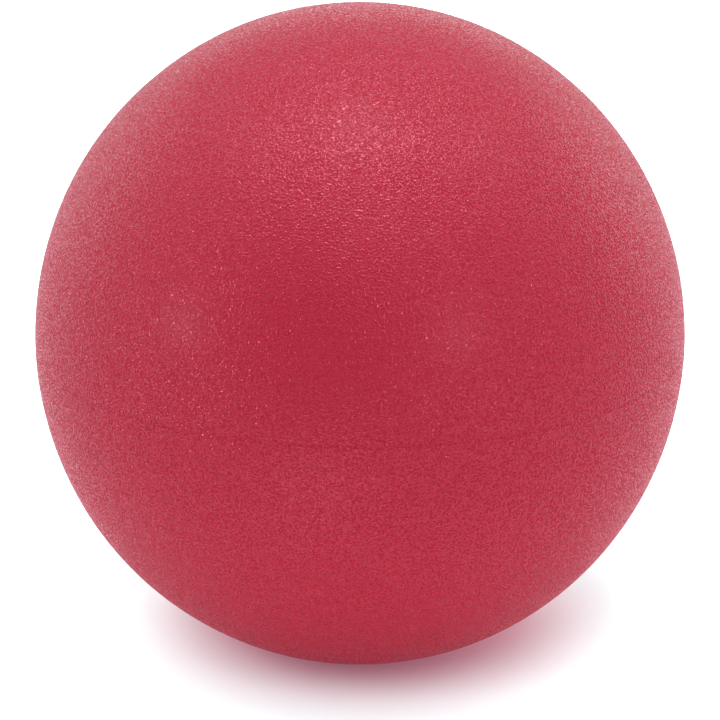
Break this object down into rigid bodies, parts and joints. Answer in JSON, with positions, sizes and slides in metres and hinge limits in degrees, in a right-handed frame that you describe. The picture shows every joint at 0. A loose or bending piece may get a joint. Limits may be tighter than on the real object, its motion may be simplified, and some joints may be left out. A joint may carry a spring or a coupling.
{
  "type": "massage ball",
  "caption": "Firm round ball that is rolled or pressed against muscles, with a dense core in a finely grained rubber cover of moulded cups joined at the equator.",
  "frame": {"origin": "centre of the ball, on the level plane of the parting line", "axes": "+Z through the poles of the two cover halves, upwards; +X to the right and +Y away from the viewer, in the plane of the parting line"},
  "size_m": [0.063, 0.063, 0.0644],
  "materials": {
    "cover": "crimson moulded rubber with a fine even pebble grain, satin to matt, with a slight pale bloom at a glancing angle",
    "cement": "cured rubber cement, a shade darker than the cover, matt, showing only as a fine parting line",
    "core": "dark grey dense rubber compound, matt, lightly buffed for bonding"
  },
  "bodies": {
    "root": {"core": "core", "bond_layer": "cement", "lower_cover": "cover", "upper_cover": "cover"}
  },
  "joints": []
}
